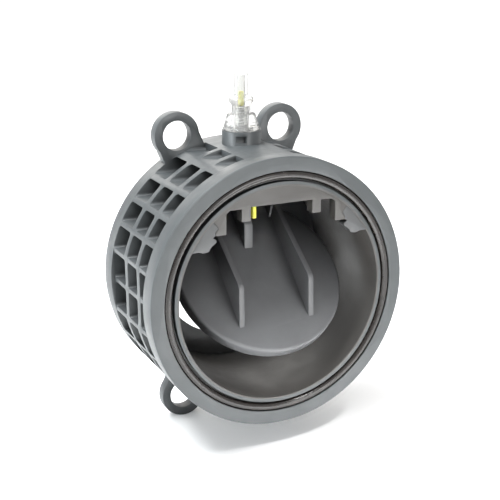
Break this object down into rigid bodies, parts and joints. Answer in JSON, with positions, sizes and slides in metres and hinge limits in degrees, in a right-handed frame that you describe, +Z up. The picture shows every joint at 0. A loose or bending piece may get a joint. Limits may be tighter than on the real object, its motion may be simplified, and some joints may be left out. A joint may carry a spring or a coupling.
{
  "type": "wafer check valve",
  "caption": "Plastic wafer check valve: round caged body with centring eyelets, a top-hinged ribbed swing disc, and a clear sight glass with a position indicator.",
  "frame": {"origin": "centre of the outlet face, on the pipe axis", "axes": "+Y along the pipe axis from the outlet face to the inlet face, +Z up towards the sight glass, +X to the right when looking into the outlet"},
  "size_m": [0.16, 0.0886, 0.2177],
  "materials": {
    "body_plastic": "satin moulded",
    "seat_plastic": "satin turned",
    "disc_plastic": "satin moulded",
    "clip_plastic": "satin moulded",
    "bush_plastic": "satin moulded",
    "stem_plastic": "satin moulded",
    "seal_rubber": "matt black",
    "pin_steel": "bright drawn",
    "indicator_yellow": "gloss moulded",
    "clear_plastic": "clear moulded"
  },
  "bodies": {
    "valve": {"valve_body": "body_plastic", "seat_ring": "seat_plastic", "seat_ring_o_ring": "seal_rubber", "outlet_o_ring": "seal_rubber", "inlet_o_ring": "seal_rubber", "hinge_carrier": "body_plastic", "left_carrier_clip": "clip_plastic", "right_carrier_clip": "clip_plastic", "hinge_pin": "pin_steel", "hinge_pin_clip": "pin_steel", "sight_glass": "clear_plastic", "sight_glass_o_ring": "seal_rubber", "stem_guide": "bush_plastic", "indicator_spring": "pin_steel"},
    "disc": {"disc": "disc_plastic", "disc_o_ring": "seal_rubber", "left_hinge_bush": "bush_plastic", "right_hinge_bush": "bush_plastic"},
    "indicator": {"indicator_stem": "stem_plastic", "indicator_flag": "indicator_yellow", "indicator_follower": "indicator_yellow"}
  },
  "joints": [
    {"name": "disc_swing", "type": "hinge", "parent": "valve", "child": "disc", "pos_m": [0, 0.0609, 0.0442], "axis": [-1, 0, 0], "range_deg": [-46, 36]},
    {"name": "indicator_lift", "type": "slide", "parent": "valve", "child": "indicator", "axis": [0, 0, 1], "range_m": [-0.0054, 0.0042], "deforming": ["indicator_spring"]}
  ],
  "couplings": [
    {"joint": "indicator_lift", "follows": "disc_swing", "m_per_rad": 0.00665}
  ]
}
